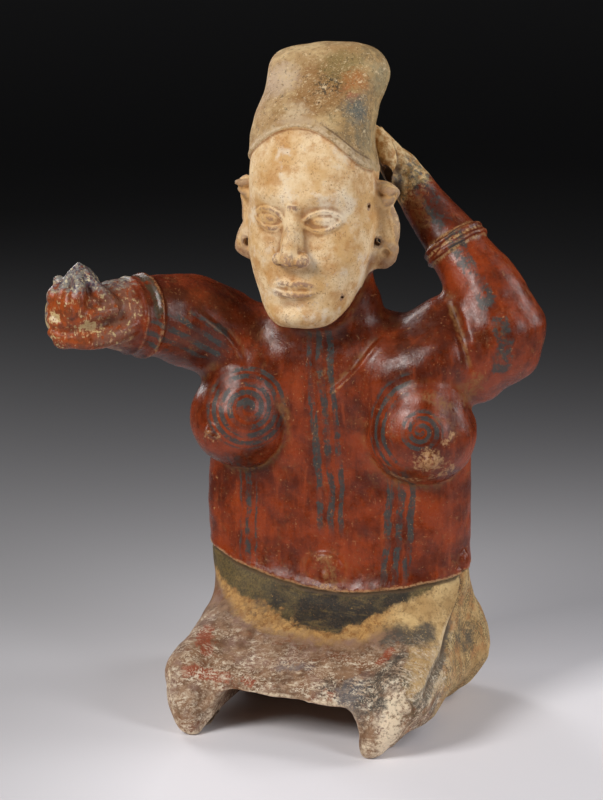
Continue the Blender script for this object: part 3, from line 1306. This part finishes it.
def clay_paint():
    """One material for the whole figure: its slips laid over each other, as they were painted."""
    p = Paint("fired_clay_slips")
    slip, slip_rough = red_slip(p)
    colour = p.mix(p.within("fist", PATCH, 8, 2), slip, fist_wash(p, slip))
    scuffs = p.times(p.within("hand", PATCH, 14, 12), p.blot(GRAIN, 0.46, 0.56))
    hand = p.most(p.within("hand", PATCH, 12, 2), scuffs)
    colour = p.mix(hand, colour, hand_wash(p))
    head = p.within("head", FLAKE, 2.5)
    colour = p.mix(head, colour, p.mix(p.within("rim", FLAKE, 1), pale_face(p), cap_cover(p)))
    skirt = p.less(p.within("waist", FLAKE, 1.4))
    colour = p.mix(skirt, colour, skirt_cover(p))
    matt = p.most(head, skirt, p.times(hand, 0.7))
    coat = Coat(p, colour)
    coat.lay(p.proud(-0.3, -0.9), (64, 44, 30), 0.6)
    rough = p.blend(matt, slip_rough, p.blend(p.noise(PATCH), 0.52, 0.74))
    height = p.times(p.noise(FLAKE, 2), p.blend(matt, 0.7, 1.8))
    height = p.add(height, p.times(p.noise(DUST), p.blend(matt, 0.26, 0.8)))
    height = p.add(height, p.times(p.noise(7, 1, UPRIGHT), p.blend(matt, 0.5, 0.0)))
    bump = p.nodes.new("ShaderNodeBump")
    bump.inputs["Distance"].default_value = 0.6 * MM
    bump.inputs["Strength"].default_value = 0.7
    p.links.new(height, bump.inputs["Height"])
    shader = p.finish(coat.colour, rough)
    p.links.new(bump.outputs["Normal"], shader.inputs["Normal"])
    shader.inputs["Specular IOR Level"].default_value = 0.34
    return p.material


# Where the floor is palest
PALE_SPOT = (0.216, -0.156, 0)


def studio_paint(pale, deep):
    """A floor that is pale about the figure and darkens away from it. Its places are in metres."""
    p = Paint("studio_floor")
    spot = p.vector("MULTIPLY", p.spot, (MM, MM, MM))
    far = p.vector("LENGTH", p.vector("SUBTRACT", spot, PALE_SPOT))
    fade = p.math("MINIMUM", p.math("EXPONENT", p.times(p.minus(far, 0.28), -2.8)), 1)
    p.finish(p.mix(fade, (*deep, 1), (*pale, 1)), 0.6)
    return p.material


def soft_light(name, at, towards, size, watts, colour):
    """A rectangular area light, turned to look at a place."""
    light = bpy.data.lights.new(name, "AREA")
    light.shape = "RECTANGLE"
    light.size, light.size_y = size
    light.energy = watts
    light.color = colour
    lamp = bpy.data.objects.new(name, light)
    bpy.context.scene.collection.objects.link(lamp)
    lamp.location = at
    lamp.rotation_euler = (Vector(towards) - Vector(at)).to_track_quat("-Z", "Y").to_euler()


def studio_floor(stage):
    """A wide round floor that curves up into a wall."""
    flat, bend, top = 2.6, 0.9, 3.2
    profile = [(0, 0), (flat, 0)]
    for turn in np.linspace(0.1, math.pi / 2, 12):
        profile.append((flat + bend * math.sin(turn), bend - bend * math.cos(turn)))
    profile.append((flat + bend, top))
    bm = bmesh.new()
    verts = [bm.verts.new((out, 0, height)) for out, height in profile]
    edges = [bm.edges.new(pair) for pair in zip(verts, verts[1:])]
    bmesh.ops.spin(
        bm, geom=verts + edges, cent=(0, 0, 0), axis=(0, 0, 1), angle=2 * math.pi, steps=72, use_merge=True,
    )
    bmesh.ops.remove_doubles(bm, verts=bm.verts, dist=0.0001)
    bmesh.ops.recalc_face_normals(bm, faces=bm.faces)
    floor = new_piece("floor", bm)
    floor.data.shade_smooth()
    floor.data.materials.append(studio_paint(tuple(stage.floor_colour), tuple(stage.far_colour)))
    return floor


def studio_lights(stage):
    """A main light from the front left, a second from the right, and two behind for the edges."""
    aim = (-0.02, 0, 0.26)
    for name, at, size, power, colour in (
        ("key", (-0.95, -1.6, 1.4), (0.8, 0.8), stage.key_power, (1, 0.98, 0.95)),
        ("fill", (1.9, -0.7, 1.0), (0.6, 1.2), stage.fill_power, (0.98, 0.99, 1)),
        ("edge_left", (-1.3, 0.9, 1.0), (0.4, 1.2), stage.back_power, (1, 1, 1)),
        ("edge_right", (1.3, 0.7, 1.0), (0.4, 1.2), stage.back_power, (1, 1, 1)),
    ):
        soft_light(name, at, aim, size, power, colour)


def studio_air():
    """A faint even light from all around."""
    world = bpy.data.worlds.new("studio_air")
    world.use_nodes = True
    sky = world.node_tree.nodes["Background"]
    sky.inputs["Color"].default_value = (0.9, 0.9, 0.92, 1)
    sky.inputs["Strength"].default_value = 0.11
    bpy.context.scene.world = world
    bpy.context.scene.view_settings.view_transform = "Standard"


def studio_camera(stage):
    """A long lens on the figure, from a little to its left and above."""
    lens = bpy.data.cameras.new("camera")
    lens.sensor_fit = "VERTICAL"
    lens.sensor_height = 36
    lens.lens = stage.lens
    camera = bpy.data.objects.new("camera", lens)
    bpy.context.scene.collection.objects.link(camera)
    target = Vector((-0.03, 0, 0.2305))
    level = math.cos(stage.elevation)
    across, back = math.sin(stage.azimuth) * level, -math.cos(stage.azimuth) * level
    way = Vector((across, back, math.sin(stage.elevation)))
    camera.location = target + way * stage.distance
    camera.rotation_euler = (-way).to_track_quat("-Z", "Y").to_euler()
    bpy.context.scene.camera = camera


class ClayFormSettings(PropertyGroup):
    rough_grain: FloatProperty(
        name="Rough grain", description="Grain at which the packed solid is melted into one skin",
        default=2.5 * MM, min=0.0005, subtype="DISTANCE", unit="LENGTH",
    )
    fine_grain: FloatProperty(
        name="Fine grain", description="Grain at which the details are melted into the body",
        default=1.25 * MM, min=0.0005, subtype="DISTANCE", unit="LENGTH",
    )
    unevenness: FloatProperty(
        name="Unevenness", description="Height of the slow swells left by shaping the clay by hand",
        default=0.55 * MM, min=0, subtype="DISTANCE", unit="LENGTH",
    )
    most_triangles: IntProperty(
        name="Triangles", description="Triangles kept in the finished figure", default=192000, min=20000,
    )


class StageSettings(PropertyGroup):
    floor_colour: FloatVectorProperty(
        name="Floor", description="Colour of the plain floor",
        default=(0.84, 0.82, 0.86), subtype="COLOR", min=0, max=1,
    )
    far_colour: FloatVectorProperty(
        name="Far floor", description="Colour of the floor far away",
        default=(0.009, 0.009, 0.01), subtype="COLOR", min=0, max=1,
    )
    key_power: FloatProperty(
        name="Key light", description="Power of the main soft light", default=40, unit="POWER",
    )
    fill_power: FloatProperty(
        name="Fill light", description="Power of the second soft light", default=17, unit="POWER",
    )
    back_power: FloatProperty(
        name="Edge lights", description="Power of each light behind", default=10, unit="POWER",
    )
    azimuth: FloatProperty(
        name="Camera turn", description="How far the camera stands round to the figure's left",
        default=math.radians(20), subtype="ANGLE",
    )
    elevation: FloatProperty(
        name="Camera height", description="How far the camera looks down",
        default=math.radians(14), subtype="ANGLE",
    )
    distance: FloatProperty(
        name="Camera distance", description="From the camera to the figure",
        default=2.0, subtype="DISTANCE", unit="LENGTH",
    )
    lens: FloatProperty(
        name="Lens", description="Focal length for a 36 mm long side",
        default=119.34, subtype="DISTANCE_CAMERA",
    )


def new_shell(name, build):
    """A closed shell, or several, that the finish melts into the body or cuts out of it."""
    bm = bmesh.new()
    build(bm)
    bmesh.ops.recalc_face_normals(bm, faces=bm.faces)
    return new_piece(name, bm)


class CLAY_OT_rough_body(Operator):
    """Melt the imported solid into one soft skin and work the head's broad forms into it"""

    bl_idname = "clay.rough_body"
    bl_label = "Rough body"

    def execute(self, context):
        rough_form(context.scene.clay_form)
        return {"FINISHED"}


class CLAY_OT_face(Operator):
    """Lay on the nose, the eyes and the lips"""

    bl_idname = "clay.face"
    bl_label = "Face"

    def execute(self, context):
        new_shell(SHELL + "face", face)
        return {"FINISHED"}


class CLAY_OT_ears(Operator):
    """Set the two flat ears on the sides of the head"""

    bl_idname = "clay.ears"
    bl_label = "Ears"

    def execute(self, context):
        for side in (-1, 1):
            new_shell(f"{SHELL}ear_{side}", lambda bm, side=side: ear(bm, side))
        return {"FINISHED"}


class CLAY_OT_hands(Operator):
    """Shape the right fist and the left hand behind the cap"""

    bl_idname = "clay.hands"
    bl_label = "Hands"

    def execute(self, context):
        new_shell(SHELL + "fist", fist)
        new_shell(SHELL + "left_hand", left_hand)
        return {"FINISHED"}


class CLAY_OT_breasts(Operator):
    """Set the two domes of the breasts on the chest"""

    bl_idname = "clay.breasts"
    bl_label = "Breasts"

    def execute(self, context):
        body = bpy.data.objects[ROUGH]
        bm = bmesh.new()
        bm.from_mesh(body.data)
        breasts(bm)
        bm.to_mesh(body.data)
        bm.free()
        return {"FINISHED"}


class CLAY_OT_bands(Operator):
    """Lay the rolls of clay about the right forearm and the left wrist"""

    bl_idname = "clay.bands"
    bl_label = "Arm bands"

    def execute(self, context):
        new_shell(SHELL + "bands", bands)
        return {"FINISHED"}


class CLAY_OT_buttons(Operator):
    """Press on the navel, the nipples and the small knobs"""

    bl_idname = "clay.buttons"
    bl_label = "Navel and knobs"

    def execute(self, context):
        new_shell(SHELL + "buttons", buttons)
        return {"FINISHED"}


class CLAY_OT_finish(Operator):
    """Melt everything into one skin, pierce it, work its surface over and paint it"""

    bl_idname = "clay.finish"
    bl_label = "Finish and paint"

    def execute(self, context):
        new_shell(CUTTER, holes)
        figure = finish_form(context.scene.clay_form)
        figure.data.materials.clear()
        figure.data.materials.append(clay_paint())
        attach(figure, "root")
        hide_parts(NODE)
        return {"FINISHED"}


class CLAY_OT_stage(Operator):
    """Set up the plain floor, the soft lights and the camera"""

    bl_idname = "clay.stage"
    bl_label = "Stage"

    def execute(self, context):
        stage = context.scene.clay_stage
        studio_floor(stage)
        studio_lights(stage)
        studio_air()
        studio_camera(stage)
        return {"FINISHED"}


PIECES = (
    CLAY_OT_rough_body,
    CLAY_OT_face,
    CLAY_OT_ears,
    CLAY_OT_hands,
    CLAY_OT_breasts,
    CLAY_OT_bands,
    CLAY_OT_buttons,
    CLAY_OT_finish,
    CLAY_OT_stage,
)


class CLAY_PT_figure(Panel):
    """The steps and sizes of the clay figure"""

    bl_idname = "CLAY_PT_figure"
    bl_label = "Clay figure"
    bl_space_type = "VIEW_3D"
    bl_region_type = "UI"
    bl_category = "Clay figure"

    def draw(self, context):
        for settings in (context.scene.clay_form, context.scene.clay_stage):
            for name in settings.__annotations__:
                self.layout.prop(settings, name)
        for piece in PIECES:
            self.layout.operator(piece.bl_idname)


CLASSES = (ClayFormSettings, StageSettings, *PIECES, CLAY_PT_figure)


def register():
    for each in CLASSES:
        bpy.utils.register_class(each)
    bpy.types.Scene.clay_form = PointerProperty(type=ClayFormSettings)
    bpy.types.Scene.clay_stage = PointerProperty(type=StageSettings)


def unregister():
    del bpy.types.Scene.clay_form
    del bpy.types.Scene.clay_stage
    for each in reversed(CLASSES):
        bpy.utils.unregister_class(each)


def main():
    register()
    bpy.ops.clay.rough_body()
    bpy.ops.clay.face()
    bpy.ops.clay.ears()
    bpy.ops.clay.hands()
    bpy.ops.clay.breasts()
    bpy.ops.clay.bands()
    bpy.ops.clay.buttons()
    bpy.ops.clay.finish()
    bpy.ops.clay.stage()


if __name__ == "__main__":
    main()
